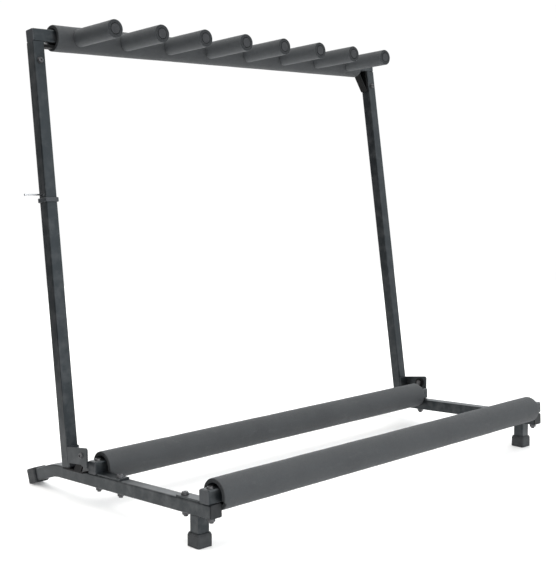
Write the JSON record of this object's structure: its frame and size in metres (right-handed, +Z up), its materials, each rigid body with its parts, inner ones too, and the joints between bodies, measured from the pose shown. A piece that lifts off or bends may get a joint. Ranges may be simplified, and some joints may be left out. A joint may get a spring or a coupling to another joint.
{
  "type": "guitar rack",
  "caption": "Folding floor rack that stands guitars side by side: padded cross rollers hold the bodies and a padded bar with divider arms keeps the necks apart.",
  "frame": {"origin": "on the floor under the middle of the overall box; the middle plane of the rack itself is at x = 10.3 mm, because the pull pin sticks out on the left only", "axes": "+X to the right along the rollers, +Y to the back, the guitars face -Y, +Z up"},
  "size_m": [0.7978, 0.4458, 0.698],
  "materials": {
    "black_steel": "satin black powder coat",
    "black_hardware": "blackened screws and nuts",
    "steel_wire": "bright drawn wire",
    "rubber_feet": "matte moulded rubber",
    "black_plastic": "fine matte",
    "foam": "closed-cell foam sleeve, soft matte skin"
  },
  "bodies": {
    "base": {"side_rail_left": "black_steel", "side_rail_right": "black_steel", "front_foot_caps": "rubber_feet", "rear_foot_caps": "rubber_feet", "rail_end_plugs": "black_plastic", "roller_tube_front": "black_steel", "roller_tube_rear": "black_steel", "roller_end_plugs": "black_plastic", "roller_plates": "black_steel", "roller_foam_front": "foam", "roller_foam_rear": "foam", "roller_bolts": "black_steel", "plate_bolts": "black_steel", "base_nuts": "black_steel", "hinge_bracket_left": "black_steel", "hinge_bracket_right": "black_steel", "hinge_bolts": "black_hardware", "hinge_nuts": "black_hardware"},
    "back_frame": {"hinge_leaf_left": "black_steel", "hinge_leaf_right": "black_steel", "post_left_lower": "black_steel", "post_left_upper": "black_steel", "post_right": "black_steel", "splice_insert": "black_steel", "splice_collar": "black_plastic", "top_bar": "black_steel", "top_bar_plugs": "black_plastic", "corner_tab_left": "black_steel", "corner_gusset_right": "black_steel", "corner_bolts": "black_hardware", "corner_nuts": "black_hardware", "top_bar_foam": "foam", "divider_arms": "black_steel", "divider_plugs": "black_plastic", "divider_foam_1": "foam", "divider_foam_2": "foam", "divider_foam_3": "foam", "divider_foam_4": "foam", "divider_foam_5": "foam", "divider_foam_6": "foam", "divider_foam_7": "foam", "divider_foam_8": "foam"},
    "lock_pin": {"lock_pin": "steel_wire"}
  },
  "joints": [
    {"name": "frame_fold", "type": "hinge", "parent": "base", "child": "back_frame", "pos_m": [0.01026, 0.06098, 0.07558], "axis": [1, 0, 0], "range_deg": [0, 96]},
    {"name": "lock_pin_pull", "type": "slide", "parent": "back_frame", "child": "lock_pin", "axis": [-0.9999, 0.0022, 0.0159], "range_m": [0, 0.022]}
  ]
}
